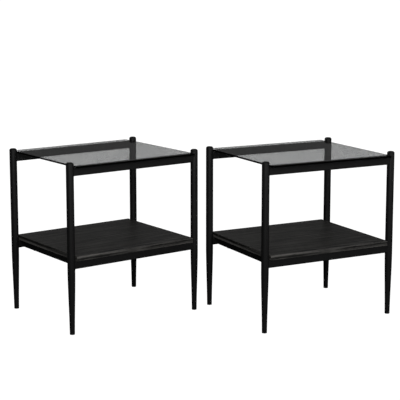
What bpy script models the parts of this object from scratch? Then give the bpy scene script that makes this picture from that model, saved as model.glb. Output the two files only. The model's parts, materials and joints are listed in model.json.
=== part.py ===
"""A matching pair of end tables: smoked glass top, black veneered shelf, black steel frame.

Metres, +Z up.  The origin lies on the floor, in the middle of the pair.  Each table is built round
its own centre and stands under an empty that turns it and sets it in its place.
"""

import math

import bmesh
import bpy
from mathutils import Vector

# ---- frame -------------------------------------------------------------------------------------
TABLE_HEIGHT = 0.559
LEG_SPACING_X = 0.485
LEG_SPACING_Y = 0.377
LEG_DIAMETER = 0.025
LEG_WALL = 0.0015
LEG_FOOT_DIAMETER = 0.0168
TAPER_BELOW_RAIL = 0.014
RAIL_HEIGHT = 0.026
RAIL_THICKNESS = 0.015
RAIL_WALL = 0.0012
RAIL_CORNER = 0.002
CROSS_RAIL_INSET = 0.030

# ---- top and shelf -----------------------------------------------------------------------------
CROWN_RISE = 0.011
GLASS_THICKNESS = 0.006
GLASS_OVERHANG = 0.0255
GLASS_CORNER = 0.006
GLASS_ARRIS = 0.001
GLASS_END_GAP = 0.0005
PAD_THICKNESS = 0.0012
PAD_DIAMETER = 0.010
PAD_FROM_LEG = 0.040
SHELF_TOP_Z = 0.2565
SHELF_THICKNESS = 0.016
SHELF_OVERHANG = 0.0135
SHELF_CORNER = 0.0015
SHELF_ARRIS = 0.0006
SHELF_END_GAP = 0.0015

# ---- plugs and screws --------------------------------------------------------------------------
CAP_DOME = 0.0065
CAP_FLAT = 0.45
CAP_SPIGOT = 0.014
GLIDE_HEIGHT = 0.006
GLIDE_SPIGOT = 0.016
GLIDE_ARRIS = 0.001
SCREW_DIAMETER = 0.004
SCREW_HEAD_DIAMETER = 0.008
SCREW_HEAD_HEIGHT = 0.0026
SCREW_HEAD_RIM = 0.5
SCREW_HEAD_FACE = 0.7
SCREW_POINT_WIDTH = 0.4
SCREW_POINT_NOSE = 0.3
SCREW_POINT_TAPER = 1.5
SCREW_GRIP = 0.010
SCREW_SPREAD = 0.240
HOLE_CLEARANCE = 0.0005

# ---- the pair ----------------------------------------------------------------------------------
PAIR_CLEAR_X = 0.0233
PAIR_STEP_Y = -0.3516
PAIR_TURN = math.radians(4.462)

# ---- fits and modelling ------------------------------------------------------------------------
CONTACT_GAP = 0.0003
ROUND_STEPS = 20
TAPER_POINTS = 6
DOME_POINTS = 5
CORNER_POINTS = 4
SCREW_STEPS = 12
MERGE = 0.00002

# ---- derived sizes -----------------------------------------------------------------------------
LEG_RADIUS = LEG_DIAMETER / 2
GLASS_TOP_Z = TABLE_HEIGHT - CROWN_RISE
GLASS_BOTTOM_Z = GLASS_TOP_Z - GLASS_THICKNESS
TOP_RAIL_TOP_Z = GLASS_BOTTOM_Z - PAD_THICKNESS
SHELF_BOTTOM_Z = SHELF_TOP_Z - SHELF_THICKNESS
LOWER_RAIL_TOP_Z = SHELF_BOTTOM_Z - CONTACT_GAP
LOWER_RAIL_BOTTOM_Z = LOWER_RAIL_TOP_Z - RAIL_HEIGHT
TAPER_START = LOWER_RAIL_BOTTOM_Z - TAPER_BELOW_RAIL
LEG_TOP_Z = TABLE_HEIGHT - CAP_DOME - CONTACT_GAP
LEG_BOTTOM_Z = GLIDE_HEIGHT + CONTACT_GAP
CORNERS = (("front_left", -1, -1), ("front_right", 1, -1), ("back_left", -1, 1), ("back_right", 1, 1))
LONG_SIDES = (("front", -1), ("back", 1))
SHORT_SIDES = (("left", -1), ("right", 1))
TURNED_WIDTH = LEG_SPACING_X * math.cos(PAIR_TURN) + LEG_SPACING_Y * math.sin(PAIR_TURN) + LEG_DIAMETER
PAIR_STEP_X = TURNED_WIDTH + PAIR_CLEAR_X


# ---- scene and materials -----------------------------------------------------------------------
def clear_scene():
    for obj in list(bpy.data.objects):
        bpy.data.objects.remove(obj)


def make_collection(name):
    collection = bpy.data.collections.new(name)
    bpy.context.scene.collection.children.link(collection)
    return collection


def make_material(name, colour, roughness, metallic=0.0):
    material = bpy.data.materials.new(name)
    material.use_nodes = True
    shader = material.node_tree.nodes["Principled BSDF"]
    shader.inputs["Base Color"].default_value = (*colour, 1.0)
    shader.inputs["Roughness"].default_value = roughness
    shader.inputs["Metallic"].default_value = metallic
    return material


clear_scene()
PARTS = make_collection("end_table_pair")
CUTTERS = make_collection("cutters")
POWDER_COAT = make_material("black_powder_coat", (0.010, 0.010, 0.011), 0.45)
SMOKED_GLASS = make_material("smoked_glass", (0.045, 0.047, 0.048), 0.05)
BLACK_VENEER = make_material("black_veneer", (0.022, 0.020, 0.018), 0.35)
BLACK_PLASTIC = make_material("black_plastic", (0.012, 0.012, 0.012), 0.50)
CLEAR_PAD = make_material("clear_pad", (0.55, 0.56, 0.56), 0.30)
ZINC_STEEL = make_material("zinc_steel", (0.45, 0.45, 0.46), 0.35, 1.0)


# ---- shapes ------------------------------------------------------------------------------------
def place(obj, location, parent, material):
    """Gives a finished piece its place on its table and its material."""
    PARTS.objects.link(obj)
    obj.parent = parent
    obj.location = location
    obj.data.materials.clear()
    obj.data.materials.append(material)
    return obj


def shade_round(mesh):
    mesh.shade_smooth()
    mesh.set_sharp_from_angle(angle=math.radians(35))


def turned(name, profile, steps, closed=False):
    """Turns a profile of (radius, z) round Z.  It starts at the top and runs down the outer side."""
    mesh = bpy.data.meshes.new(name)
    edges = [(i, i + 1) for i in range(len(profile) - 1)]
    if closed:
        edges.append((len(profile) - 1, 0))
    mesh.from_pydata([(radius, 0.0, z) for radius, z in profile], edges, [])
    obj = bpy.data.objects.new(name, mesh)
    screw = obj.modifiers.new("turn", "SCREW")
    screw.steps = steps
    screw.render_steps = steps
    screw.use_merge_vertices = True
    screw.merge_threshold = MERGE
    return obj


def rounded_rectangle(width, depth, corner):
    """The outline's points, anticlockwise, with an arc at each corner."""
    points = []
    for quarter, (sx, sy) in enumerate(((1, 1), (-1, 1), (-1, -1), (1, -1))):
        centre = Vector((sx * (width / 2 - corner), sy * (depth / 2 - corner)))
        for i in range(CORNER_POINTS):
            angle = math.pi / 2 * (quarter + i / (CORNER_POINTS - 1))
            points.append(centre + corner * Vector((math.cos(angle), math.sin(angle))))
    return points


def extruded(name, outlines, thickness):
    """A flat plate from outlines in XY, the later ones being holes, as a mesh centred on its thickness."""
    curve = bpy.data.curves.new(name, "CURVE")
    curve.dimensions = "2D"
    curve.fill_mode = "BOTH"
    curve.extrude = thickness / 2
    for outline in outlines:
        spline = curve.splines.new("POLY")
        spline.points.add(len(outline) - 1)
        for point, (x, y) in zip(spline.points, outline):
            point.co = (x, y, 0.0, 1.0)
        spline.use_cyclic_u = True
    guide = bpy.data.objects.new(name + "_outline", curve)
    bpy.context.scene.collection.objects.link(guide)
    graph = bpy.context.evaluated_depsgraph_get()
    mesh = bpy.data.meshes.new_from_object(guide.evaluated_get(graph))
    bpy.data.objects.remove(guide)
    body = bmesh.new()
    body.from_mesh(mesh)
    bmesh.ops.remove_doubles(body, verts=body.verts, dist=MERGE)
    bmesh.ops.recalc_face_normals(body, faces=body.faces)
    body.to_mesh(mesh)
    body.free()
    mesh.name = name
    return bpy.data.objects.new(name, mesh)


def stood_up(obj, matrix_rows):
    """Turns a plate's mesh so that its local X, Y and Z point along the three given directions."""
    for vertex in obj.data.vertices:
        vertex.co = sum((Vector(row) * value for row, value in zip(matrix_rows, vertex.co)), Vector())
    return obj


def round_cutter(name, radius, low, high, place_xy, parent, steps):
    """An upright cylinder that cuts its neighbour."""
    mesh = bpy.data.meshes.new(name)
    body = bmesh.new()
    bmesh.ops.create_cone(
        body,
        cap_ends=True,
        segments=steps,
        radius1=radius,
        radius2=radius,
        depth=high - low,
    )
    body.to_mesh(mesh)
    body.free()
    cutter = bpy.data.objects.new(name, mesh)
    CUTTERS.objects.link(cutter)
    cutter.parent = parent
    cutter.location = (*place_xy, (low + high) / 2)
    cutter.hide_render = True
    cutter.display_type = "WIRE"
    return cutter


def cut(obj, cutters):
    for cutter in cutters:
        boolean = obj.modifiers.new("cut_" + cutter.name, "BOOLEAN")
        boolean.operation = "DIFFERENCE"
        boolean.solver = "EXACT"
        boolean.object = cutter


def softened(obj, width, segments=1):
    bevel = obj.modifiers.new("arris", "BEVEL")
    bevel.width = width
    bevel.segments = segments
    bevel.limit_method = "ANGLE"
    bevel.angle_limit = math.radians(60)


# ---- legs --------------------------------------------------------------------------------------
def leg_radius_at(z):
    """Full round above the taper.  Below it the leg narrows to its foot on a slight S."""
    share = min(z / TAPER_START, 1.0)
    smooth = share * share * (3 - 2 * share)
    foot = LEG_FOOT_DIAMETER / 2
    return foot + (LEG_RADIUS - foot) * (share + smooth) / 2


def leg_levels():
    step = (TAPER_START - LEG_BOTTOM_Z) / TAPER_POINTS
    return [LEG_TOP_Z] + [TAPER_START - i * step for i in range(TAPER_POINTS + 1)]


def build_leg(prefix, corner, x, y, parent):
    outer = [(leg_radius_at(z), z) for z in leg_levels()]
    inner = [(radius - LEG_WALL, z) for radius, z in reversed(outer)]
    leg = turned(f"{prefix}_leg_{corner}", outer + inner, ROUND_STEPS, closed=True)
    place(leg, (x, y, 0.0), parent, POWDER_COAT)
    shade_round(leg.data)


def build_leg_cap(prefix, corner, x, y, parent):
    """A domed plug: a flattened crown, a shoulder on the tube's end and a spigot down its bore."""
    seat = TABLE_HEIGHT - CAP_DOME
    spigot = LEG_RADIUS - LEG_WALL - CONTACT_GAP
    profile = [(0.0, TABLE_HEIGHT)]
    for i in range(DOME_POINTS + 1):
        angle = math.pi / 2 * i / DOME_POINTS
        reach = CAP_FLAT + (1 - CAP_FLAT) * math.sin(angle)
        profile.append((LEG_RADIUS * reach, seat + CAP_DOME * math.cos(angle)))
    profile += [(spigot, seat), (spigot, seat - CAP_SPIGOT), (0.0, seat - CAP_SPIGOT)]
    cap = turned(f"{prefix}_leg_cap_{corner}", profile, ROUND_STEPS)
    place(cap, (x, y, 0.0), parent, BLACK_PLASTIC)
    shade_round(cap.data)


def build_glide(prefix, corner, x, y, parent):
    """A foot plug that the leg stands on, with a spigot up the narrow end of the leg."""
    edge = leg_radius_at(GLIDE_HEIGHT)
    spigot = leg_radius_at(LEG_BOTTOM_Z) - LEG_WALL - CONTACT_GAP
    profile = [
        (0.0, GLIDE_HEIGHT + GLIDE_SPIGOT),
        (spigot, GLIDE_HEIGHT + GLIDE_SPIGOT),
        (spigot, GLIDE_HEIGHT),
        (edge, GLIDE_HEIGHT),
        (leg_radius_at(0.0), GLIDE_ARRIS),
        (leg_radius_at(0.0) - GLIDE_ARRIS, 0.0),
        (0.0, 0.0),
    ]
    glide = turned(f"{prefix}_glide_{corner}", profile, ROUND_STEPS)
    place(glide, (x, y, 0.0), parent, BLACK_PLASTIC)
    shade_round(glide.data)


# ---- rails -------------------------------------------------------------------------------------
def rail_tube(name, length):
    """A rectangular tube along local Z, its height along local Y."""
    outer = rounded_rectangle(RAIL_THICKNESS, RAIL_HEIGHT, RAIL_CORNER)
    hollow = (RAIL_THICKNESS - 2 * RAIL_WALL, RAIL_HEIGHT - 2 * RAIL_WALL)
    inner = rounded_rectangle(*hollow, RAIL_CORNER - RAIL_WALL / 2)
    return extruded(name, [outer, inner], length)


def build_long_rail(prefix, name, y, top_z, parent):
    """A front or back rail, its two ends coped to the round legs."""
    rail = stood_up(rail_tube(f"{prefix}_{name}", LEG_SPACING_X), ((0, 1, 0), (0, 0, 1), (1, 0, 0)))
    place(rail, (0.0, y, top_z - RAIL_HEIGHT / 2), parent, POWDER_COAT)
    copes = []
    for side, sx in SHORT_SIDES:
        copes.append(
            round_cutter(
                f"{prefix}_{name}_cope_{side}",
                LEG_RADIUS + CONTACT_GAP,
                top_z - 2 * RAIL_HEIGHT,
                top_z + RAIL_HEIGHT,
                (sx * LEG_SPACING_X / 2, y),
                parent,
                2 * ROUND_STEPS,
            )
        )
    cut(rail, copes)


def screw_places(sx):
    x = sx * (LEG_SPACING_X / 2 - CROSS_RAIL_INSET - RAIL_THICKNESS / 2)
    return [(side, (x, sy * SCREW_SPREAD / 2)) for side, sy in LONG_SIDES]


def build_cross_rail(prefix, side, sx, parent):
    """A short rail under the shelf, between the two lower long rails, bored for the shelf screws."""
    length = LEG_SPACING_Y - RAIL_THICKNESS - 2 * CONTACT_GAP
    name = f"{prefix}_cross_rail_{side}"
    rail = stood_up(rail_tube(name, length), ((-1, 0, 0), (0, 0, 1), (0, 1, 0)))
    x = screw_places(sx)[0][1][0]
    place(rail, (x, 0.0, LOWER_RAIL_TOP_Z - RAIL_HEIGHT / 2), parent, POWDER_COAT)
    holes = []
    for end, at in screw_places(sx):
        holes.append(
            round_cutter(
                f"{name}_hole_{end}",
                SCREW_DIAMETER / 2 + HOLE_CLEARANCE,
                LOWER_RAIL_BOTTOM_Z - RAIL_HEIGHT,
                LOWER_RAIL_TOP_Z + RAIL_HEIGHT,
                at,
                parent,
                SCREW_STEPS,
            )
        )
    cut(rail, holes)


# ---- glass, pads, shelf and screws -------------------------------------------------------------
def build_glass(prefix, parent):
    """A loose pane that lies between the legs and reaches past them at the front and back."""
    length = LEG_SPACING_X - LEG_DIAMETER - 2 * GLASS_END_GAP
    depth = LEG_SPACING_Y + 2 * GLASS_OVERHANG
    glass = extruded(f"{prefix}_glass_top", [rounded_rectangle(length, depth, GLASS_CORNER)], GLASS_THICKNESS)
    softened(glass, GLASS_ARRIS)
    place(glass, (0.0, 0.0, GLASS_TOP_Z - GLASS_THICKNESS / 2), parent, SMOKED_GLASS)


def build_pad(prefix, corner, sx, sy, parent):
    low = TOP_RAIL_TOP_Z + CONTACT_GAP
    high = GLASS_BOTTOM_Z - CONTACT_GAP
    profile = [(0.0, high), (PAD_DIAMETER / 2, high), (PAD_DIAMETER / 2, low), (0.0, low)]
    pad = turned(f"{prefix}_glass_pad_{corner}", profile, SCREW_STEPS)
    x = sx * (LEG_SPACING_X / 2 - PAD_FROM_LEG)
    place(pad, (x, sy * LEG_SPACING_Y / 2, 0.0), parent, CLEAR_PAD)
    shade_round(pad.data)


def build_shelf(prefix, parent):
    """A veneered board on the lower rails, between the legs, with blind pilot holes underneath."""
    length = LEG_SPACING_X - LEG_DIAMETER - 2 * SHELF_END_GAP
    depth = LEG_SPACING_Y + 2 * SHELF_OVERHANG
    shelf = extruded(f"{prefix}_shelf", [rounded_rectangle(length, depth, SHELF_CORNER)], SHELF_THICKNESS)
    softened(shelf, SHELF_ARRIS)
    place(shelf, (0.0, 0.0, SHELF_TOP_Z - SHELF_THICKNESS / 2), parent, BLACK_VENEER)
    pilots = []
    for side, sx in SHORT_SIDES:
        for end, at in screw_places(sx):
            pilots.append(
                round_cutter(
                    f"{prefix}_pilot_{end}_{side}",
                    SCREW_DIAMETER / 2 + CONTACT_GAP,
                    SHELF_BOTTOM_Z - SHELF_THICKNESS,
                    SHELF_BOTTOM_Z + SCREW_GRIP + HOLE_CLEARANCE,
                    at,
                    parent,
                    SCREW_STEPS,
                )
            )
    cut(shelf, pilots)


def build_screw(prefix, corner, at, parent):
    """A pan-head screw, up through a cross rail into the shelf."""
    seat = LOWER_RAIL_BOTTOM_Z - CONTACT_GAP
    tip = SHELF_BOTTOM_Z + SCREW_GRIP
    shank = SCREW_DIAMETER / 2
    head = SCREW_HEAD_DIAMETER / 2
    profile = [
        (0.0, tip),
        (shank * SCREW_POINT_WIDTH, tip - shank * SCREW_POINT_NOSE),
        (shank, tip - shank * SCREW_POINT_TAPER),
        (shank, seat),
        (head, seat),
        (head, seat - SCREW_HEAD_HEIGHT * SCREW_HEAD_RIM),
        (head * SCREW_HEAD_FACE, seat - SCREW_HEAD_HEIGHT),
        (0.0, seat - SCREW_HEAD_HEIGHT),
    ]
    screw = turned(f"{prefix}_shelf_screw_{corner}", profile, SCREW_STEPS)
    place(screw, (*at, 0.0), parent, ZINC_STEEL)
    shade_round(screw.data)


# ---- assembly ----------------------------------------------------------------------------------
def build_table(prefix, centre, turn):
    stand = bpy.data.objects.new(f"table_{prefix}_stand", None)
    PARTS.objects.link(stand)
    stand.location = (*centre, 0.0)
    stand.rotation_euler = (0.0, 0.0, turn)
    bpy.context.view_layer.update()
    for corner, sx, sy in CORNERS:
        x = sx * LEG_SPACING_X / 2
        y = sy * LEG_SPACING_Y / 2
        build_leg(prefix, corner, x, y, stand)
        build_leg_cap(prefix, corner, x, y, stand)
        build_glide(prefix, corner, x, y, stand)
        build_pad(prefix, corner, sx, sy, stand)
    for side, sy in LONG_SIDES:
        build_long_rail(prefix, f"top_rail_{side}", sy * LEG_SPACING_Y / 2, TOP_RAIL_TOP_Z, stand)
        build_long_rail(prefix, f"lower_rail_{side}", sy * LEG_SPACING_Y / 2, LOWER_RAIL_TOP_Z, stand)
    build_shelf(prefix, stand)
    for side, sx in SHORT_SIDES:
        build_cross_rail(prefix, side, sx, stand)
        for end, at in screw_places(sx):
            build_screw(prefix, f"{end}_{side}", at, stand)
    build_glass(prefix, stand)


build_table("a", (-PAIR_STEP_X / 2, -PAIR_STEP_Y / 2), PAIR_TURN)
build_table("b", (PAIR_STEP_X / 2, PAIR_STEP_Y / 2), -PAIR_TURN)
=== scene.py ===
"""A matching pair of end tables: black powder coated steel, a smoked glass top and a black ash shelf.

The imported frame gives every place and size.  Each table's pieces are modelled in that table's own
frame, with X along its long side, Y towards its back and Z up, and then stood on the floor with it.
"""

import json
import math

import bmesh
import bpy
from bpy.props import FloatProperty, FloatVectorProperty, IntProperty, PointerProperty
from mathutils import Matrix, Vector

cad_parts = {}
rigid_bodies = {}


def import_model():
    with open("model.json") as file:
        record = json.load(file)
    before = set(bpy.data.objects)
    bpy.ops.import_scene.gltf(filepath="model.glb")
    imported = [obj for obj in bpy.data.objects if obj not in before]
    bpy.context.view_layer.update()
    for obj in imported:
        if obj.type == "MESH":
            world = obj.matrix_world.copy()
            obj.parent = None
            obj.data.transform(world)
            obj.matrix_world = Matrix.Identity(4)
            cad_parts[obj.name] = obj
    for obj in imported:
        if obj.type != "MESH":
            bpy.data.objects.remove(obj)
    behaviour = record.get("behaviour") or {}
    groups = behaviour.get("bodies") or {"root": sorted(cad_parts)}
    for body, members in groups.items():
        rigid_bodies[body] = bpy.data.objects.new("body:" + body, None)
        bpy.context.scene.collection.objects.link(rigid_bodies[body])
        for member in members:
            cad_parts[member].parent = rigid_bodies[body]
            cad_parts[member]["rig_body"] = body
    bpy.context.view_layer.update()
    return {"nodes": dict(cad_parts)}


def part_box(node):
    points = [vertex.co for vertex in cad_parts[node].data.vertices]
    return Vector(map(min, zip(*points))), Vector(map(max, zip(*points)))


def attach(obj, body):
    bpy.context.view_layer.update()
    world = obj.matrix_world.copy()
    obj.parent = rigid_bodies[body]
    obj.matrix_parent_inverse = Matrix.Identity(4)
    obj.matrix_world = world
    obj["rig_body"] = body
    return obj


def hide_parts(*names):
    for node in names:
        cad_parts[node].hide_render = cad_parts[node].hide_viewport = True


bl_info = {
    "name": "End Table Pair",
    "version": (1, 0, 0),
    "blender": (4, 5, 0),
    "location": "3D View > Sidebar > End Tables",
    "description": "Builds the finished pieces of two matching end tables round their frame",
    "category": "Object",
}

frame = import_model()

CORNERS = {"front_left": (-1, -1), "front_right": (1, -1), "back_left": (-1, 1), "back_right": (1, 1)}
LONG_SIDES = {"front": -1, "back": 1}
SHORT_SIDES = {"left": -1, "right": 1}
MM = 0.001


# ---- the two tables, read from the frame --------------------------------------------------------
def bounding_corners(points):
    return Vector(map(min, zip(*points))), Vector(map(max, zip(*points)))


class Table:
    """Where one table stands, and its sizes in its own frame."""

    def __init__(self, prefix):
        self.prefix = prefix
        axes = {corner: sum(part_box(f"{prefix}_leg_{corner}"), Vector()) / 2 for corner in CORNERS}
        across = axes["front_right"] - axes["front_left"]
        deep = axes["back_left"] - axes["front_left"]
        centre = sum(axes.values(), Vector()) / len(axes)
        turn = math.atan2(across.y, across.x)
        self.stand = Matrix.Translation((centre.x, centre.y, 0.0)) @ Matrix.Rotation(turn, 4, "Z")
        self.half_x = across.length / 2
        self.half_y = deep.length / 2

    def points(self, node):
        back = self.stand.inverted()
        return [back @ vertex.co for vertex in frame["nodes"][f"{self.prefix}_{node}"].data.vertices]

    def box(self, node):
        """A node's lowest and highest corners in the table's own frame."""
        return bounding_corners(self.points(node))

    def rings(self, node, corner):
        """(distance from the leg's axis, height) of each of a turned node's points."""
        sx, sy = CORNERS[corner]
        axis = Vector((sx * self.half_x, sy * self.half_y))
        return [((point.to_2d() - axis).length, point.z) for point in self.points(node)]

    def corner_place(self, corner):
        sx, sy = CORNERS[corner]
        return Vector((sx * self.half_x, sy * self.half_y, 0.0))


TABLES = (Table("a"), Table("b"))
FIRST = TABLES[0]
LEG_RINGS = FIRST.rings("leg_front_left", "front_left")
LEG_RADIUS = max(radius for radius, z in LEG_RINGS)
LEG_TOP_Z = max(z for radius, z in LEG_RINGS)
LEG_FOOT_Z = min(z for radius, z in LEG_RINGS)
LEG_FOOT_RADIUS = max(radius for radius, z in LEG_RINGS if z < LEG_FOOT_Z + 0.1 * MM)
TAPER_START = min(z for radius, z in LEG_RINGS if radius > LEG_RADIUS - 0.01 * MM)
CROWN_Z = FIRST.box("leg_cap_front_left")[1].z
RAIL_LOW, RAIL_HIGH = FIRST.box("top_rail_front")


# ---- settings ----------------------------------------------------------------------------------
def linear(hex_colour):
    """An sRGB hex colour as linear red, green and blue."""
    channels = [int(hex_colour[i : i + 2], 16) / 255 for i in (1, 3, 5)]
    return tuple(c / 12.92 if c <= 0.04045 else ((c + 0.055) / 1.055) ** 2.4 for c in channels)


def colour_setting(name, description, hex_colour):
    return FloatVectorProperty(
        name=name,
        description=description,
        subtype="COLOR",
        size=3,
        min=0.0,
        max=1.0,
        default=linear(hex_colour),
    )


def length_setting(name, description, default):
    return FloatProperty(
        name=name,
        description=description,
        unit="LENGTH",
        subtype="DISTANCE",
        precision=4,
        min=0.0,
        default=default,
    )


def power_setting(name, description, default):
    return FloatProperty(name=name, description=description, subtype="POWER", default=default)


class TABLEPAIR_PG_steel(bpy.types.PropertyGroup):
    """The steel frame and its plastic plugs."""

    coat: colour_setting("Powder coat", "Colour of the coated steel", "#171717")
    coat_light: colour_setting("Powder coat, thin", "Colour where the coat lies thinner", "#1b1b1c")
    plug: colour_setting("Plastic", "Colour of the crown plugs and foot glides", "#141414")
    tube_wall: length_setting("Leg wall", "Wall of the round leg tube", 1.5 * MM)
    rail_wall: length_setting("Rail wall", "Wall of the rectangular rail tube", 1.2 * MM)
    rail_corner: length_setting("Rail corner", "Outer corner radius of the rail tube", 2.0 * MM)
    seam: length_setting("Seam", "Width of the line where a plug meets its leg", 0.3 * MM)
    bead: length_setting("Weld bead", "Radius of the weld round each rail end", 0.9 * MM)
    bead_ripple: length_setting("Weld ripple", "Distance between two ripples of a weld", 1.6 * MM)
    sides: IntProperty(name="Round sides", description="Faces round a leg", min=24, max=128, default=72)


class TABLEPAIR_PG_glass(bpy.types.PropertyGroup):
    """The loose pane and the clear bumpers that it lies on."""

    tint: colour_setting("Smoke tint", "What white looks like through the pane", "#c9caca")
    edge: colour_setting("Edge", "Colour of the polished edge, where the tint is deepest", "#020303")
    bumper: colour_setting("Bumper", "Colour of the clear bumpers", "#dfe3e2")
    arris: length_setting("Arris", "Width of the ground arris", 0.5 * MM)
    corner: length_setting("Corner", "Radius of the pane's corners", 6.0 * MM)


class TABLEPAIR_PG_shelf(bpy.types.PropertyGroup):
    """The veneered shelf and its screws."""

    stain: colour_setting("Stain", "Black stain in the open grain", "#0f0f0e")
    stain_light: colour_setting("Stain, ridges", "Stain on the raised, harder grain", "#777572")
    zinc: colour_setting("Zinc", "Colour of the plated screws", "#b4b2ac")
    arris: length_setting("Arris", "Radius of the board's edges", 0.6 * MM)
    corner: length_setting("Corner", "Radius of the board's corners", 1.5 * MM)
    ring_width: length_setting("Ring width", "Distance between two growth rings of the veneer", 15.0 * MM)


class TABLEPAIR_PG_stage(bpy.types.PropertyGroup):
    """The floor, the light and the camera."""

    floor: colour_setting("Floor", "Colour of the floor", "#fcfcfc")
    floor_size: length_setting("Floor size", "Side of the floor", 80.0)
    surround: FloatProperty(
        name="Surround",
        description="How bright the room is that the pieces mirror",
        min=0.0,
        default=0.06,
    )
    key: power_setting("Key light", "Soft light over the camera", 43.0)
    fill: power_setting("Fill light", "Soft light from the front right", 12.5)
    rim: power_setting("Rim light", "Soft light from behind", 5.0)


# ---- materials ---------------------------------------------------------------------------------
MIX_A, MIX_B, MIX_COLOUR = 6, 7, 2
PANE_IOR = 1.5


def add(tree, kind, inputs=None, **settings):
    """Adds a shader node with its settings, and sets or links its inputs."""
    node = tree.nodes.new("ShaderNode" + kind)
    for name, value in settings.items():
        setattr(node, name, value)
    for key, value in (inputs or {}).items():
        if isinstance(value, bpy.types.NodeSocket):
            tree.links.new(value, node.inputs[key])
        else:
            node.inputs[key].default_value = value
    return node


def new_tree(name):
    """A new material and its node tree, with nothing in it but the output."""
    material = bpy.data.materials.new(name)
    material.use_nodes = True
    tree = material.node_tree
    tree.nodes.clear()
    return material, tree


def rgba(colour):
    return (*colour, 1.0)


def place_in_mm(tree, stretch=(1.0, 1.0, 1.0)):
    """The place on the piece in millimetres, so that a noise scale of 1 / size gives marks of that
    size.  A larger stretch makes the marks shorter along that axis."""
    metres = add(tree, "TexCoord").outputs["Object"]
    per_metre = tuple(share / MM for share in stretch)
    return add(tree, "VectorMath", {0: metres, 1: per_metre}, operation="MULTIPLY").outputs[0]


def made_powder_coat(settings):
    """Polyester powder coat, satin black, baked on steel: deep even black with a faint orange peel
    that softens each highlight into a broad grey band."""
    material, tree = new_tree("satin_black_powder_coat")
    where = place_in_mm(tree)
    peel = add(tree, "TexNoise", {"Vector": where, "Scale": 1 / 1.4, "Detail": 1.5}).outputs[0]
    grit = add(tree, "TexNoise", {"Vector": where, "Scale": 1 / 0.35, "Detail": 1.0}).outputs[0]
    cloud = add(tree, "TexNoise", {"Vector": where, "Scale": 1 / 70, "Detail": 2.0}).outputs[0]
    coats = {0: cloud, MIX_A: rgba(settings.coat), MIX_B: rgba(settings.coat_light)}
    colour = add(tree, "Mix", coats, data_type="RGBA")
    matte = add(tree, "MapRange", {"Value": peel, 1: 0.3, 2: 0.7, 3: 0.44, 4: 0.54})
    height = add(tree, "Math", {0: grit, 1: 0.3, 2: peel}, operation="MULTIPLY_ADD")
    bump = add(tree, "Bump", {"Strength": 0.35, "Distance": 0.03 * MM, "Height": height.outputs[0]})
    shader = add(
        tree,
        "BsdfPrincipled",
        {
            "Base Color": colour.outputs[MIX_COLOUR],
            "Roughness": matte.outputs[0],
            "IOR": 1.5,
            "Specular IOR Level": 0.5,
            "Normal": bump.outputs[0],
        },
    )
    add(tree, "OutputMaterial", {"Surface": shader.outputs[0]})
    return material


def made_moulded_plastic(settings):
    """Black polyethylene, injection moulded in a spark eroded tool: a shade flatter than the coat."""
    material, tree = new_tree("moulded_black_polyethylene")
    where = place_in_mm(tree)
    texture = add(tree, "TexNoise", {"Vector": where, "Scale": 1 / 0.5, "Detail": 2.0}).outputs[0]
    cloud = add(tree, "TexNoise", {"Vector": where, "Scale": 1 / 12, "Detail": 1.0}).outputs[0]
    dull = tuple(0.8 * c for c in settings.plug)
    colour = add(tree, "Mix", {0: cloud, MIX_A: rgba(dull), MIX_B: rgba(settings.plug)}, data_type="RGBA")
    bump = add(tree, "Bump", {"Strength": 0.3, "Distance": 0.03 * MM, "Height": texture})
    matte = add(tree, "MapRange", {"Value": texture, 1: 0.3, 2: 0.7, 3: 0.48, 4: 0.6})
    shader = add(
        tree,
        "BsdfPrincipled",
        {
            "Base Color": colour.outputs[MIX_COLOUR],
            "Roughness": matte.outputs[0],
            "IOR": 1.51,
            "Normal": bump.outputs[0],
        },
    )
    add(tree, "OutputMaterial", {"Surface": shader.outputs[0]})
    return material


def made_smoked_glass(settings):
    """Tempered float glass, grey through and through: clear enough to see the frame beyond it, and
    a sharp mirror at a low angle.  Lamps shine through it as through a tinted pane."""
    material, tree = new_tree("smoked_float_glass")
    where = place_in_mm(tree, stretch=(1.0, 4.0, 1.0))
    wiped = add(tree, "TexNoise", {"Vector": where, "Scale": 1 / 60, "Detail": 3.0}).outputs[0]
    sheen = add(tree, "MapRange", {"Value": wiped, 1: 0.4, 2: 0.75, 3: 0.004, 4: 0.03})
    shader = add(
        tree,
        "BsdfPrincipled",
        {
            "Base Color": rgba(settings.tint),
            "Roughness": sheen.outputs[0],
            "IOR": PANE_IOR,
            "Transmission Weight": 1.0,
        },
    )
    one_face = tuple(math.sqrt(c) for c in settings.tint)
    lamp_way = add(tree, "BsdfTransparent", {"Color": rgba(one_face)})
    to_lamp = add(tree, "LightPath").outputs["Is Shadow Ray"]
    both = add(tree, "MixShader", {0: to_lamp, 1: shader.outputs[0], 2: lamp_way.outputs[0]})
    add(tree, "OutputMaterial", {"Surface": both.outputs[0]})
    return material


def made_glass_edge(settings):
    """The pane's ground and polished edge.  Light that reaches it has crossed far more glass than
    at the faces, so it looks nearly black, with fine grinding lines along it."""
    material, tree = new_tree("polished_smoked_glass_edge")
    where = place_in_mm(tree, stretch=(1.0, 1.0, 30.0))
    lines = add(tree, "TexNoise", {"Vector": where, "Scale": 1 / 6, "Detail": 2.0}).outputs[0]
    polish = add(tree, "MapRange", {"Value": lines, 1: 0.3, 2: 0.7, 3: 0.1, 4: 0.22})
    deeper = tuple(0.4 * c for c in settings.edge)
    depths = {0: lines, MIX_A: rgba(deeper), MIX_B: rgba(settings.edge)}
    colour = add(tree, "Mix", depths, data_type="RGBA")
    shader = add(
        tree,
        "BsdfPrincipled",
        {
            "Base Color": colour.outputs[MIX_COLOUR],
            "Roughness": polish.outputs[0],
            "IOR": PANE_IOR,
            "Specular IOR Level": 0.3,
        },
    )
    add(tree, "OutputMaterial", {"Surface": shader.outputs[0]})
    return material


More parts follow.
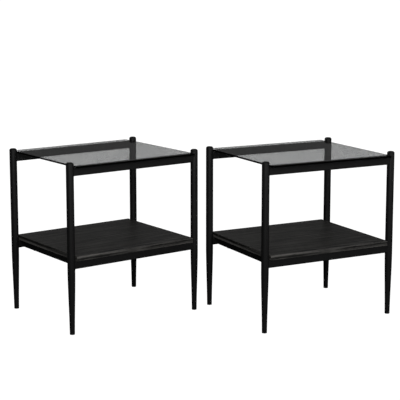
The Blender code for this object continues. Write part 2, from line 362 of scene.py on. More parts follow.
def made_veneer(settings, name, along, across, figure, strength=1.0):
    """Ash veneer, stained black and lacquered satin with its grain left open.  The hard ridges shine
    a warm dark grey above the black pores.  along and across name the axes of the grain.  figure
    is (along, across, slope): the middle of the flat-sawn rings and how slowly they close up.
    strength multiplies both stain colours; the edge banding is given more, so it comes out lighter than the
    face."""
    stain = tuple(strength * c for c in settings.stain)
    ridge = tuple(strength * c for c in settings.stain_light)
    material, tree = new_tree(name)
    spot = add(tree, "SeparateXYZ", {0: add(tree, "TexCoord").outputs["Object"]})
    where = add(tree, "CombineXYZ", {"X": spot.outputs[along], "Y": spot.outputs[across]}).outputs[0]
    # How long and how wide the marks are, in millimetres, and how finely they break up.  Real pores
    # are about 0.3 mm wide and too fine to show, so they are drawn at twice that.
    marks = {
        "wander": (385.0, 143.0, 2.0),
        "ripple": (111.0, 16.67, 2.0),
        "fibres": (71.4, 2.63, 4.0),
        "streaks": (200.0, 13.33, 6.0),
        "pores": (16.67, 0.667, 2.0),
    }
    grain = {}
    for mark, (length, width, detail) in marks.items():
        per_metre = (1 / (length * MM), 1 / (width * MM), 1.0)
        spread = add(tree, "VectorMath", {0: where, 1: per_metre}, operation="MULTIPLY").outputs[0]
        grain[mark] = add(tree, "TexNoise", {"Vector": spread, "Scale": 1.0, "Detail": detail}).outputs[0]
    long_way = add(tree, "Math", {0: spot.outputs[along], 1: figure[0]}, operation="SUBTRACT")
    long_way = add(tree, "Math", {0: long_way.outputs[0], 1: figure[2]}, operation="MULTIPLY")
    cross_way = add(tree, "Math", {0: spot.outputs[across], 1: figure[1]}, operation="SUBTRACT")
    swayed = {0: grain["wander"], 1: 0.05, 2: cross_way.outputs[0]}
    cross_way = add(tree, "Math", swayed, operation="MULTIPLY_ADD")
    from_heart = add(tree, "CombineXYZ", {"X": long_way.outputs[0], "Y": cross_way.outputs[0]})
    from_heart = add(tree, "VectorMath", {0: from_heart.outputs[0]}, operation="LENGTH")
    per_ring = math.tau / settings.ring_width
    turns = add(tree, "Math", {0: from_heart.outputs["Value"], 1: per_ring}, operation="MULTIPLY")
    turns = add(tree, "Math", {0: grain["ripple"], 1: 1.8, 2: turns.outputs[0]}, operation="MULTIPLY_ADD")
    waves = add(tree, "Math", {0: turns.outputs[0]}, operation="SINE").outputs[0]
    bands = {"Value": waves, 1: -0.6, 2: 1.0}
    rings = add(tree, "MapRange", bands, interpolation_type="SMOOTHSTEP").outputs[0]
    fibres = add(tree, "MapRange", {"Value": grain["fibres"], 1: 0.3, 2: 0.7}).outputs[0]
    streaks = add(tree, "MapRange", {"Value": grain["streaks"], 1: 0.36, 2: 0.66}).outputs[0]
    pores = add(tree, "MapRange", {"Value": grain["pores"], 1: 0.52, 2: 0.66}).outputs[0]
    light = add(tree, "Math", {0: rings, 1: 0.38, 2: -0.28}, operation="MULTIPLY_ADD")
    light = add(tree, "Math", {0: fibres, 1: 0.4, 2: light.outputs[0]}, operation="MULTIPLY_ADD")
    light = add(tree, "Math", {0: streaks, 1: 0.55, 2: light.outputs[0]}, operation="MULTIPLY_ADD")
    pitted = {0: pores, 1: -0.3, 2: light.outputs[0]}
    light = add(tree, "Math", pitted, operation="MULTIPLY_ADD", use_clamp=True)
    stains = {0: light.outputs[0], MIX_A: rgba(stain), MIX_B: rgba(ridge)}
    colour = add(tree, "Mix", stains, data_type="RGBA")
    lacquer = add(tree, "MapRange", {"Value": light.outputs[0], 3: 0.44, 4: 0.3})
    height = add(tree, "Math", {0: pores, 1: -0.8, 2: fibres}, operation="MULTIPLY_ADD")
    height = add(tree, "Math", {0: rings, 1: 0.5, 2: height.outputs[0]}, operation="MULTIPLY_ADD")
    bump = add(tree, "Bump", {"Strength": 0.5, "Distance": 0.08 * MM, "Height": height.outputs[0]})
    shader = add(
        tree,
        "BsdfPrincipled",
        {
            "Base Color": colour.outputs[MIX_COLOUR],
            "Roughness": lacquer.outputs[0],
            "IOR": 1.48,
            "Normal": bump.outputs[0],
        },
    )
    add(tree, "OutputMaterial", {"Surface": shader.outputs[0]})
    return material


def made_clear_bumper(settings):
    """Clear polyurethane, cast in domes: soft to look at, slightly milky, with a waxy shine."""
    material, tree = new_tree("clear_polyurethane_bumper")
    where = place_in_mm(tree)
    milky = add(tree, "TexNoise", {"Vector": where, "Scale": 1 / 2, "Detail": 2.0}).outputs[0]
    waxy = add(tree, "MapRange", {"Value": milky, 1: 0.3, 2: 0.7, 3: 0.16, 4: 0.3})
    shader = add(
        tree,
        "BsdfPrincipled",
        {
            "Base Color": rgba(settings.bumper),
            "Roughness": waxy.outputs[0],
            "IOR": 1.49,
            "Transmission Weight": 0.85,
        },
    )
    add(tree, "OutputMaterial", {"Surface": shader.outputs[0]})
    return material


def made_zinc_steel(settings):
    """Zinc plated steel, bright passivated: a soft silver with a faint cloudy crystal pattern."""
    material, tree = new_tree("zinc_plated_steel")
    where = place_in_mm(tree)
    crystal = add(tree, "TexNoise", {"Vector": where, "Scale": 1 / 1.2, "Detail": 3.0}).outputs[0]
    soft = add(tree, "MapRange", {"Value": crystal, 1: 0.3, 2: 0.7, 3: 0.28, 4: 0.42})
    dull = tuple(0.78 * c for c in settings.zinc)
    colour = add(tree, "Mix", {0: crystal, MIX_A: rgba(dull), MIX_B: rgba(settings.zinc)}, data_type="RGBA")
    shader = add(
        tree,
        "BsdfPrincipled",
        {
            "Base Color": colour.outputs[MIX_COLOUR],
            "Metallic": 1.0,
            "Roughness": soft.outputs[0],
        },
    )
    add(tree, "OutputMaterial", {"Surface": shader.outputs[0]})
    return material


# ---- mesh tools --------------------------------------------------------------------------------
SMOOTH_BELOW = math.radians(32)


def arc(centre, radii, start, end, steps):
    """Points on an arc from start to end degrees, both ends counted."""
    turns = [math.radians(start + (end - start) * i / steps) for i in range(steps + 1)]
    return [(centre[0] + radii[0] * math.cos(t), centre[1] + radii[1] * math.sin(t)) for t in turns]


def smoothed(mesh):
    mesh.shade_smooth()
    mesh.set_sharp_from_angle(angle=SMOOTH_BELOW)
    return mesh


def finished(body, name):
    mesh = bpy.data.meshes.new(name)
    bmesh.ops.recalc_face_normals(body, faces=body.faces)
    body.to_mesh(mesh)
    body.free()
    return smoothed(mesh)


def joined_rings(body, rings, closed=False):
    """Faces between neighbouring rings of points.  A ring of one point closes the end."""
    sides = max(len(ring) for ring in rings)
    following = rings[1:] + ([rings[0]] if closed else [])
    for upper, lower in zip(rings, following):
        for i in range(sides):
            j = i + 1
            corners = (
                upper[i % len(upper)],
                lower[i % len(lower)],
                lower[j % len(lower)],
                upper[j % len(upper)],
            )
            body.faces.new(dict.fromkeys(corners))


def turned(name, profile, sides, closed=False):
    """A mesh turned round Z from points of (radius, z) that run down its outer side."""
    body = bmesh.new()
    rings = []
    for radius, z in profile:
        if radius < 1e-9:
            rings.append([body.verts.new((0.0, 0.0, z))])
            continue
        angles = [math.tau * i / sides for i in range(sides)]
        rings.append([body.verts.new((radius * math.cos(a), radius * math.sin(a), z)) for a in angles])
    joined_rings(body, rings, closed)
    return finished(body, name)


def outline(length, depth, corner, corner_steps=8, flat_steps=1):
    """A rounded rectangle's points, anticlockwise.  flat_steps cuts each side parallel to X."""
    points = []
    for quarter, (sx, sy) in enumerate(((1, 1), (-1, 1), (-1, -1), (1, -1))):
        centre = (sx * (length / 2 - corner), sy * (depth / 2 - corner))
        points += arc(centre, (corner, corner), 90 * quarter, 90 * quarter + 90, corner_steps)
        if quarter in (0, 2):
            run = 2 * abs(centre[0]) * -sx / flat_steps
            x, y = points[-1]
            points += [(x + run * i, y) for i in range(1, flat_steps)]
    return points


def slab(name, length, depth, corner, profile):
    """A flat board or pane.  profile is (inset, z) points that run down its edge."""
    body = bmesh.new()
    rings = []
    for inset, z in profile:
        loop = outline(length - 2 * inset, depth - 2 * inset, corner - inset)
        rings.append([body.verts.new((x, y, z)) for x, y in loop])
    joined_rings(body, rings)
    body.faces.new(rings[0])
    body.faces.new(reversed(rings[-1]))
    return finished(body, name)


def rail_mesh(name, half_length, thickness, height, corner, wall, leg_radius=None):
    """A rectangular tube along X, with walls.  With a leg radius, its ends are coped to round legs."""
    body = bmesh.new()
    flat_steps = 8 if leg_radius else 1
    outer = outline(thickness, height, corner, 8, flat_steps)
    inner = outline(thickness - 2 * wall, height - 2 * wall, corner - wall / 2, 8, flat_steps)
    loops = []
    for side, across in ((1, outer), (-1, outer), (-1, inner), (1, inner)):
        loop = []
        for y, z in across:
            reach = half_length - (math.sqrt(leg_radius**2 - y**2) if leg_radius else 0.0)
            loop.append(body.verts.new((side * reach, y, z)))
        loops.append(loop)
    joined_rings(body, loops, closed=True)
    return finished(body, name)


def swept(body, path, radii, normals, sides=10):
    """A closed bead: a circle carried round a closed path, square to it."""
    rings = []
    count = len(path)
    for i, (point, radius, normal) in enumerate(zip(path, radii, normals)):
        tangent = (path[(i + 1) % count] - path[i - 1]).normalized()
        side = tangent.cross(normal).normalized()
        up = side.cross(tangent)
        angles = [math.tau * k / sides for k in range(sides)]
        around = [math.cos(a) * up + math.sin(a) * side for a in angles]
        rings.append([body.verts.new(point + radius * way) for way in around])
    joined_rings(body, rings, closed=True)


def carved(obj, cutters):
    """Cuts the cutters out of obj for good and removes them."""
    for cutter in cutters:
        bpy.context.scene.collection.objects.link(cutter)
        cut = obj.modifiers.new("cut", "BOOLEAN")
        cut.operation = "DIFFERENCE"
        cut.solver = "EXACT"
        cut.object = cutter
    graph = bpy.context.evaluated_depsgraph_get()
    mesh = bpy.data.meshes.new_from_object(obj.evaluated_get(graph))
    obj.modifiers.clear()
    obj.data = smoothed(mesh)
    for cutter in cutters:
        bpy.data.objects.remove(cutter)
    return obj


def placed(table, name, mesh, place, turn=0.0):
    """A new object on a table, at a place and turn in the table's own frame."""
    obj = bpy.data.objects.new(f"{table.prefix}_{name}", mesh)
    bpy.context.scene.collection.objects.link(obj)
    obj.matrix_world = table.stand @ Matrix.Translation(place) @ Matrix.Rotation(turn, 4, "Z")
    return obj


def flat_faced(obj):
    """Keeps the wide flat faces flat beside their small rounded edges."""
    weighted = obj.modifiers.new("flat_faces", "WEIGHTED_NORMAL")
    weighted.weight = 100
    weighted.keep_sharp = True
    return obj


def fixed(table, obj, materials, node, stands_for=True):
    """Gives a piece its materials, and ties it to the frame where its node rides."""
    obj.data.materials.clear()
    for material in materials:
        obj.data.materials.append(bpy.data.materials[material])
    full_name = f"{table.prefix}_{node}"
    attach(obj, frame["nodes"][full_name]["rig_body"])
    if stands_for:
        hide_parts(full_name)
    return obj


# ---- operators: the steel frame ----------------------------------------------------------------
def leg_radius_at(z):
    """Full round above the taper.  Below it the leg narrows to its foot on a slight S."""
    share = min(max((z - LEG_FOOT_Z) / (TAPER_START - LEG_FOOT_Z), 0.0), 1.0)
    smooth = share * share * (3 - 2 * share)
    return LEG_FOOT_RADIUS + (LEG_RADIUS - LEG_FOOT_RADIUS) * (share + smooth) / 2


class TABLEPAIR_OT_finishes(bpy.types.Operator):
    """Make every material of the pair"""

    bl_idname = "tablepair.finishes"
    bl_label = "Finishes"

    def execute(self, context):
        scene = context.scene
        made_powder_coat(scene.tablepair_steel)
        made_moulded_plastic(scene.tablepair_steel)
        made_smoked_glass(scene.tablepair_glass)
        made_glass_edge(scene.tablepair_glass)
        made_clear_bumper(scene.tablepair_glass)
        made_zinc_steel(scene.tablepair_shelf)
        shelf = scene.tablepair_shelf
        heart = (-0.178, -0.176, 0.1)
        made_veneer(shelf, "black_ash_veneer_face", "X", "Y", heart)
        made_veneer(shelf, "black_ash_veneer_long_edge", "X", "Z", (0.1, 0.06, 0.04), 1.8)
        made_veneer(shelf, "black_ash_veneer_end_edge", "Y", "Z", (0.1, 0.05, 0.04), 1.8)
        return {"FINISHED"}


class TABLEPAIR_OT_legs(bpy.types.Operator):
    """Turn the eight tapered leg tubes"""

    bl_idname = "tablepair.legs"
    bl_label = "Legs"

    def execute(self, context):
        steel = context.scene.tablepair_steel
        lip = steel.seam / 2
        taper_steps = 24
        outer = arc((LEG_RADIUS - lip, LEG_TOP_Z - lip), (lip, lip), 90, 0, 4)
        for i in range(taper_steps + 1):
            z = TAPER_START + (LEG_FOOT_Z + lip - TAPER_START) * i / taper_steps
            outer.append((leg_radius_at(z), z))
        outer += arc((LEG_FOOT_RADIUS - lip, LEG_FOOT_Z + lip), (lip, lip), 0, -90, 4)[1:]
        wall = steel.tube_wall
        inner = [(LEG_FOOT_RADIUS - wall, LEG_FOOT_Z)]
        inner += [(radius - wall, z) for radius, z in reversed(outer[5:-4])]
        inner += [(LEG_RADIUS - wall, LEG_TOP_Z)]
        mesh = turned("leg_tube", outer + inner, steel.sides, closed=True)
        for table in TABLES:
            for corner in CORNERS:
                leg = placed(table, f"leg_tube_{corner}", mesh, table.corner_place(corner))
                fixed(table, leg, ["satin_black_powder_coat"], f"leg_{corner}")
        return {"FINISHED"}


class TABLEPAIR_OT_crowns(bpy.types.Operator):
    """Turn the domed plugs that close the tops of the legs"""

    bl_idname = "tablepair.crowns"
    bl_label = "Crown plugs"

    def execute(self, context):
        steel = context.scene.tablepair_steel
        seat = LEG_TOP_Z + steel.seam
        lip = steel.seam / 2
        flat = 0.45 * LEG_RADIUS
        dome = (LEG_RADIUS - flat, CROWN_Z - seat - lip)
        spigot = LEG_RADIUS - steel.tube_wall - steel.seam
        spigot_z = FIRST.box("leg_cap_front_left")[0].z
        profile = [(0.0, CROWN_Z)]
        profile += arc((flat, seat + lip), dome, 90, 0, 16)
        profile += arc((LEG_RADIUS - lip, seat + lip), (lip, lip), 0, -90, 4)[1:]
        profile += [(spigot, seat), (spigot, spigot_z + MM), (spigot - MM, spigot_z), (0.0, spigot_z)]
        mesh = turned("crown_plug", profile, steel.sides)
        for table in TABLES:
            for corner in CORNERS:
                plug = placed(table, f"crown_plug_{corner}", mesh, table.corner_place(corner))
                fixed(table, plug, ["moulded_black_polyethylene"], f"leg_cap_{corner}")
        return {"FINISHED"}


class TABLEPAIR_OT_glides(bpy.types.Operator):
    """Turn the plastic glides that the legs stand on"""

    bl_idname = "tablepair.glides"
    bl_label = "Foot glides"

    def execute(self, context):
        steel = context.scene.tablepair_steel
        rings = FIRST.rings("glide_front_left", "front_left")
        foot = max(radius for radius, z in rings)
        top = LEG_FOOT_Z - steel.seam
        edge = 1.2 * MM
        lip = steel.seam / 2
        spigot = LEG_FOOT_RADIUS - steel.tube_wall - steel.seam
        spigot_z = FIRST.box("glide_front_left")[1].z
        profile = [(0.0, spigot_z), (spigot - 0.5 * MM, spigot_z)]
        profile += [(spigot, spigot_z - 0.5 * MM), (spigot, top)]
        profile += arc((foot - lip, top - lip), (lip, lip), 90, 0, 4)
        profile += arc((foot - edge, edge), (edge, edge), 0, -90, 8)
        profile += [(foot - 2 * edge, 0.0), (foot - 2.4 * edge, 0.3 * MM), (0.0, 0.3 * MM)]
        mesh = turned("foot_glide", profile, steel.sides)
        for table in TABLES:
            for corner in CORNERS:
                glide = placed(table, f"foot_glide_{corner}", mesh, table.corner_place(corner))
                fixed(table, glide, ["moulded_black_polyethylene"], f"glide_{corner}")
        return {"FINISHED"}


class TABLEPAIR_OT_long_rails(bpy.types.Operator):
    """Make the front and back rails, coped to the round legs"""

    bl_idname = "tablepair.long_rails"
    bl_label = "Long rails"

    def execute(self, context):
        steel = context.scene.tablepair_steel
        size = RAIL_HIGH - RAIL_LOW
        sunk = LEG_RADIUS - 0.1 * MM
        section = (size.y, size.z, steel.rail_corner, steel.rail_wall)
        mesh = rail_mesh("long_rail", FIRST.half_x, *section, sunk)
        for table in TABLES:
            for level in ("top", "lower"):
                for side in LONG_SIDES:
                    low, high = table.box(f"{level}_rail_{side}")
                    rail = flat_faced(placed(table, f"rail_{level}_{side}", mesh, (low + high) / 2))
                    node = f"{level}_rail_{side}"
                    fixed(table, rail, ["satin_black_powder_coat"], node)
        return {"FINISHED"}


class TABLEPAIR_OT_cross_rails(bpy.types.Operator):
    """Make the short rails under the shelf, bored for its screws"""

    bl_idname = "tablepair.cross_rails"
    bl_label = "Cross rails"

    def execute(self, context):
        steel = context.scene.tablepair_steel
        for table in TABLES:
            for side in SHORT_SIDES:
                low, high = table.box(f"cross_rail_{side}")
                middle = (low + high) / 2
                size = high - low
                half = table.half_y - (RAIL_HIGH - RAIL_LOW).y / 2 + 0.1 * MM
                mesh = rail_mesh("cross_rail", half, size.x, size.z, steel.rail_corner, steel.rail_wall)
                rail = placed(table, f"rail_cross_{side}", mesh, middle, math.pi / 2)
                drills = []
                for end in LONG_SIDES:
                    hole = 2.5 * MM
                    at = screw_place(table, f"{end}_{side}")
                    depth = [(0.0, 2 * size.z), (hole, 2 * size.z), (hole, -2 * size.z), (0.0, -2 * size.z)]
                    drill = bpy.data.objects.new("drill", turned("drill", depth, 24))
                    drill.matrix_world = table.stand @ Matrix.Translation((at.x, at.y, middle.z))
                    drills.append(drill)
                flat_faced(carved(rail, drills))
                fixed(table, rail, ["satin_black_powder_coat"], f"cross_rail_{side}")
        return {"FINISHED"}


def bead_path(thickness, height, corner, leg_radius, sign):
    """Where a coped rail meets its leg: points round the rail, and the leg's normals there."""
    spacing = 0.55 * MM
    loop = [Vector(point) for point in outline(thickness, height, corner, 6, 20)]
    path = []
    for start, end in zip(loop, loop[1:] + loop[:1]):
        steps = max(1, round((end - start).length / spacing))
        path += [start.lerp(end, i / steps) for i in range(steps)]
    points, normals = [], []
    for y, z in path:
        x = math.sqrt(leg_radius**2 - y**2)
        points.append(Vector((sign * x, y, z)))
        normals.append(Vector((sign * x, y, 0.0)).normalized())
    return points, normals


def rippled(path, radius, pitch):
    """A weld bead's radius along its path, swelling and thinning with each ripple."""
    total = sum((b - a).length for a, b in zip(path, path[1:]))
    ripples = max(1, round(total / pitch))
    return [radius * (1 + 0.07 * math.sin(math.tau * ripples * i / len(path))) for i in range(len(path))]


class TABLEPAIR_OT_welds(bpy.types.Operator):
    """Lay a weld bead round each end of the long rails"""

    bl_idname = "tablepair.welds"
    bl_label = "Weld beads"

    def execute(self, context):
        steel = context.scene.tablepair_steel
        size = RAIL_HIGH - RAIL_LOW
        for table in TABLES:
            for level in ("top", "lower"):
                for corner, (sx, sy) in CORNERS.items():
                    side = corner.split("_")[0]
                    low, high = table.box(f"{level}_rail_{side}")
                    body = bmesh.new()
                    path, normals = bead_path(size.y, size.z, steel.rail_corner, LEG_RADIUS, -sx)
                    swept(body, path, rippled(path, steel.bead, steel.bead_ripple), normals)
                    place = table.corner_place(corner)
                    place.z = (low.z + high.z) / 2
                    bead = placed(table, f"weld_{level}_{corner}", finished(body, "weld_bead"), place)
                    coat = ["satin_black_powder_coat"]
                    fixed(table, bead, coat, f"leg_{corner}", stands_for=False)
        return {"FINISHED"}


# ---- operators: the shelf ----------------------------------------------------------------------
def screw_place(table, corner):
    low, high = table.box(f"shelf_screw_{corner}")
    return (low + high) / 2


class TABLEPAIR_OT_shelf(bpy.types.Operator):
    """Make the veneered shelf board with its eased edges"""

    bl_idname = "tablepair.shelf"
    bl_label = "Shelf board"

    def execute(self, context):
        shelf = context.scene.tablepair_shelf
        for table in TABLES:
            low, high = table.box("shelf")
            size = high - low
            half = size.z / 2
            ease = shelf.arris
            joint = 0.9 * MM
            edge = [(inset_x, z) for inset_x, z in arc((ease, half - ease), (-ease, ease), 90, 0, 5)]
            edge += [(0.0, half - joint), (0.12 * MM, half - joint - 0.1 * MM)]
            edge += [(0.0, half - joint - 0.2 * MM)]
            profile = edge + [(inset, -z) for inset, z in reversed(edge)]
            mesh = slab("shelf_board", size.x, size.y, shelf.corner, profile)
            board = placed(table, "shelf_board", mesh, (low + high) / 2)
            pilots = []
            for corner in CORNERS:
                at = screw_place(table, corner)
                tip = table.box(f"shelf_screw_{corner}")[1].z + 0.5 * MM
                bore = 2.2 * MM
                depth = [(0.0, tip), (bore, tip), (bore, low.z - size.z), (0.0, low.z - size.z)]
                pilot = bpy.data.objects.new("pilot", turned("pilot", depth, 24))
                pilot.matrix_world = table.stand @ Matrix.Translation((at.x, at.y, 0.0))
                pilots.append(pilot)
            flat_faced(carved(board, pilots))
            for face in board.data.polygons:
                x, y, z = (abs(value) for value in face.normal)
                face.material_index = 0 if z > 0.7 else 1 if y > x else 2
            veneers = ["black_ash_veneer_face", "black_ash_veneer_long_edge", "black_ash_veneer_end_edge"]
            indices = [face.material_index for face in board.data.polygons]
            fixed(table, board, veneers, "shelf")
            board.data.polygons.foreach_set("material_index", indices)
        return {"FINISHED"}


class TABLEPAIR_OT_screws(bpy.types.Operator):
    """Turn the pan-head screws that hold the shelf, with a cross recess"""

    bl_idname = "tablepair.screws"
    bl_label = "Shelf screws"

    def execute(self, context):
        low, high = FIRST.box("shelf_screw_front_left")
        head = (high - low).x / 2
        head_height = 2.6 * MM
        seat = low.z + head_height
        shank = 1.9 * MM
        pitch = 1.25 * MM
        profile = [(0.0, high.z), (0.35 * shank, high.z - 0.6 * MM)]
        z = high.z - 2.2 * MM
        while z > seat + 3 * MM:
            profile += [(shank, z), (shank * 0.72, z - pitch / 2)]
            z -= pitch
        profile += [(shank * 0.9, seat + 1.5 * MM), (shank * 0.9, seat), (head - 0.1 * MM, seat)]
        profile += arc((head * 0.62, seat - 0.3 * MM), (head * 0.38, head_height - 0.3 * MM), 0, -90, 10)
        profile += [(0.0, low.z)]
        for table in TABLES:
            for corner in CORNERS:
                at = screw_place(table, corner)
                mesh = turned("pan_screw", profile, 40)
                screw = placed(table, f"pan_screw_{corner}", mesh, (at.x, at.y, 0.0))
                recess = bmesh.new()
                rings = []
                for scale, z in ((1.0, low.z - 0.2 * MM), (0.35, low.z + 1.9 * MM)):
                    arm, slot = 2.3 * MM * scale, 0.5 * MM * scale
                    cross = [(arm, slot), (slot, slot), (slot, arm)]
                    loop = []
                    for quarter in range(4):
                        turn = Matrix.Rotation(quarter * math.pi / 2, 2)
                        loop += [turn @ Vector(point) for point in cross]
                    rings.append([recess.verts.new((x, y, z)) for x, y in loop])
                joined_rings(recess, rings)
                recess.faces.new(rings[0])
                recess.faces.new(reversed(rings[1]))
                tool = bpy.data.objects.new("driver_recess", finished(recess, "driver_recess"))
                tool.matrix_world = screw.matrix_world
                carved(screw, [tool])
                fixed(table, screw, ["zinc_plated_steel"], f"shelf_screw_{corner}")
        return {"FINISHED"}


# ---- operators: the glass ----------------------------------------------------------------------
class TABLEPAIR_OT_glass(bpy.types.Operator):
    """Make the loose panes, with ground arrises and polished edges"""

    bl_idname = "tablepair.glass"
    bl_label = "Glass tops"

    def execute(self, context):
        glass = context.scene.tablepair_glass
        for table in TABLES:
            low, high = table.box("glass_top")
            size = high - low
            half = size.z / 2
            arris = glass.arris
            soft = 0.15 * MM
            edge = [(arris + soft, half), (arris, half - 0.2 * soft), (arris - soft, half - soft)]
            edge += [(soft, half - arris + soft), (0.2 * soft, half - arris), (0.0, half - arris - soft)]
            profile = edge + [(inset, -z) for inset, z in reversed(edge)]
            mesh = slab("glass_pane", size.x, size.y, glass.corner, profile)
            pane = flat_faced(placed(table, "glass_pane", mesh, (low + high) / 2))
            indices = [0 if abs(face.normal.z) > 0.99 else 1 for face in mesh.polygons]
            glasses = ["smoked_float_glass", "polished_smoked_glass_edge"]
            fixed(table, pane, glasses, "glass_top")
            pane.data.polygons.foreach_set("material_index", indices)
        return {"FINISHED"}


class TABLEPAIR_OT_bumpers(bpy.types.Operator):
    """Turn the clear bumpers between the rails and the glass"""

    bl_idname = "tablepair.bumpers"
    bl_label = "Glass bumpers"

    def execute(self, context):
        low, high = FIRST.box("glass_pad_front_left")
        radius = (high - low).x / 2
        half = (high - low).z / 2
        lip = 0.4 * half
        crown = 1.1 * half
        profile = [(0.0, half)]
        profile += arc((radius - 1.6 * MM, half - crown), (1.2 * MM, crown), 90, 0, 8)
        profile += arc((radius - lip, -half + lip), (lip, lip), 60, -90, 6)
        profile += [(0.0, -half)]
        mesh = turned("glass_bumper", profile, 48)
        for table in TABLES:
            for corner in CORNERS:
                low, high = table.box(f"glass_pad_{corner}")
                pad = placed(table, f"glass_bumper_{corner}", mesh, (low + high) / 2)
                fixed(table, pad, ["clear_polyurethane_bumper"], f"glass_pad_{corner}")
        return {"FINISHED"}


# ---- operators: the stage ----------------------------------------------------------------------
CAMERA_PLACE = Vector((-2.1468, -3.4199, 1.1585))
CAMERA_YAW = math.radians(-32.06)
CAMERA_PITCH = math.radians(8.603)
CAMERA_LENS = 108.55
CAMERA_SHIFT_Y = -0.12
FLOOR_CLOUD = 2.0  # width in metres of the faint clouds in its colour
FLOOR_GLOW = 1.12  # strength where it is seen
FLOOR_MIRRORED = 0.12  # grey where the pieces mirror it


def seen_directly(tree):
    """1 for what is seen straight or through the glass, 0 for what is only mirrored or lights."""
    path = add(tree, "LightPath")
    return add(
        tree,
        "Math",
        {0: path.outputs["Is Camera Ray"], 1: path.outputs["Is Transmission Ray"]},
        operation="MAXIMUM",
    ).outputs[0]


def area_light(name, place, aim, size, power, unlit):
    """A soft light that the camera doesn't see, nor the pieces in the unlit collection."""
    light = bpy.data.lights.new(name, "AREA")
    light.shape = "RECTANGLE"
    light.size, light.size_y = size
    light.energy = power
    lamp = bpy.data.objects.new(name, light)
    bpy.context.scene.collection.objects.link(lamp)
    lamp.location = place
    lamp.rotation_euler = (Vector(aim) - Vector(place)).to_track_quat("-Z", "Y").to_euler()
    lamp.visible_camera = False
    lamp.light_linking.receiver_collection = unlit
    return lamp


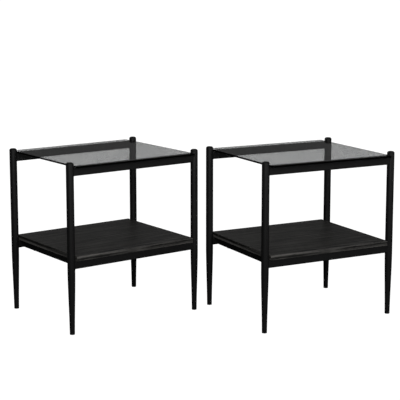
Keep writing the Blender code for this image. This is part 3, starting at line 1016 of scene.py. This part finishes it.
class TABLEPAIR_OT_stage(bpy.types.Operator):
    """Set up the pale floor, the soft light and the camera"""

    bl_idname = "tablepair.stage"
    bl_label = "Stage"

    def execute(self, context):
        scene = context.scene
        stage = scene.tablepair_stage
        scene.view_settings.view_transform = "Standard"
        self.make_floor(stage)
        self.make_room(scene, stage)
        middle = (0.0, 0.0, 0.3)
        panes = self.panes_apart()
        area_light("key_softbox", (-1.9, -3.2, 2.2), middle, (2.6, 2.0), stage.key, panes)
        area_light("fill_softbox", (1.6, -3.1, 1.6), middle, (1.6, 1.6), stage.fill, panes)
        area_light("rim_softbox", (1.2, 2.9, 3.2), middle, (2.8, 1.6), stage.rim, panes)
        camera = bpy.data.cameras.new("camera")
        camera.lens = CAMERA_LENS
        camera.shift_y = CAMERA_SHIFT_Y
        camera.clip_end = 200.0
        eye = bpy.data.objects.new("camera", camera)
        scene.collection.objects.link(eye)
        eye.location = CAMERA_PLACE
        eye.rotation_euler = (math.pi / 2 - CAMERA_PITCH, 0.0, CAMERA_YAW)
        scene.camera = eye
        return {"FINISHED"}

    def panes_apart(self):
        """The panes, which would mirror a softbox as a white sheet over the whole top."""
        apart = bpy.data.collections.new("panes_without_softboxes")
        for table in TABLES:
            apart.objects.link(bpy.data.objects[f"{table.prefix}_glass_pane"])
        for member in apart.collection_objects:
            member.light_linking.link_state = "EXCLUDE"
        return apart

    def make_floor(self, stage):
        """A seamless pale floor, bright where it is seen and dim where black pieces mirror it."""
        body = bmesh.new()
        bmesh.ops.create_grid(body, x_segments=8, y_segments=8, size=stage.floor_size / 2)
        floor = bpy.data.objects.new("studio_floor", finished(body, "studio_floor"))
        bpy.context.scene.collection.objects.link(floor)
        material, tree = new_tree("pale_painted_floor")
        where = add(tree, "TexCoord").outputs["Object"]
        cloud = add(tree, "TexNoise", {"Vector": where, "Scale": 1 / FLOOR_CLOUD, "Detail": 2.0})
        shade = tuple(0.985 * c for c in stage.floor)
        paints = {0: cloud.outputs[0], MIX_A: rgba(shade), MIX_B: rgba(stage.floor)}
        colour = add(tree, "Mix", paints, data_type="RGBA")
        bright = add(tree, "Emission", {"Color": colour.outputs[MIX_COLOUR], "Strength": FLOOR_GLOW})
        dim = add(tree, "BsdfDiffuse", {"Color": rgba([FLOOR_MIRRORED] * 3)})
        both = add(tree, "MixShader", {0: seen_directly(tree), 1: dim.outputs[0], 2: bright.outputs[0]})
        add(tree, "OutputMaterial", {"Surface": both.outputs[0]})
        floor.data.materials.append(material)

    def make_room(self, scene, stage):
        """A white backdrop to look at, and a dim grey room for the pieces to mirror."""
        world = bpy.data.worlds.new("studio")
        world.use_nodes = True
        tree = world.node_tree
        tree.nodes.clear()
        room = add(tree, "Background", {"Color": (1.0, 1.0, 1.0, 1.0), "Strength": stage.surround})
        backdrop = add(tree, "Background", {"Color": (1.0, 1.0, 1.0, 1.0), "Strength": 1.0})
        seen = add(tree, "LightPath").outputs["Is Camera Ray"]
        both = add(tree, "MixShader", {0: seen, 1: room.outputs[0], 2: backdrop.outputs[0]})
        add(tree, "OutputWorld", {"Surface": both.outputs[0]})
        scene.world = world


# ---- panel and registration --------------------------------------------------------------------
BUILD_STEPS = (
    TABLEPAIR_OT_finishes,
    TABLEPAIR_OT_legs,
    TABLEPAIR_OT_crowns,
    TABLEPAIR_OT_glides,
    TABLEPAIR_OT_long_rails,
    TABLEPAIR_OT_cross_rails,
    TABLEPAIR_OT_welds,
    TABLEPAIR_OT_shelf,
    TABLEPAIR_OT_screws,
    TABLEPAIR_OT_glass,
    TABLEPAIR_OT_bumpers,
    TABLEPAIR_OT_stage,
)
SETTINGS = {
    "tablepair_steel": TABLEPAIR_PG_steel,
    "tablepair_glass": TABLEPAIR_PG_glass,
    "tablepair_shelf": TABLEPAIR_PG_shelf,
    "tablepair_stage": TABLEPAIR_PG_stage,
}


class TABLEPAIR_PT_sidebar(bpy.types.Panel):
    """The settings and the building steps of the pair"""

    bl_idname = "TABLEPAIR_PT_sidebar"
    bl_label = "End Tables"
    bl_space_type = "VIEW_3D"
    bl_region_type = "UI"
    bl_category = "End Tables"

    def draw(self, context):
        for name in SETTINGS:
            settings = getattr(context.scene, name)
            column = self.layout.column(align=True)
            for setting in settings.bl_rna.properties:
                if setting.identifier not in ("rna_type", "name"):
                    column.prop(settings, setting.identifier)
        for step in BUILD_STEPS:
            self.layout.operator(step.bl_idname)


def register():
    for group in (*SETTINGS.values(), *BUILD_STEPS, TABLEPAIR_PT_sidebar):
        bpy.utils.register_class(group)
    for name, group in SETTINGS.items():
        setattr(bpy.types.Scene, name, PointerProperty(type=group))


def unregister():
    for name in SETTINGS:
        delattr(bpy.types.Scene, name)
    for group in reversed((*SETTINGS.values(), *BUILD_STEPS, TABLEPAIR_PT_sidebar)):
        bpy.utils.unregister_class(group)


def main():
    register()
    for step in BUILD_STEPS:
        category, name = step.bl_idname.split(".")
        getattr(getattr(bpy.ops, category), name)()


if __name__ == "__main__":
    main()
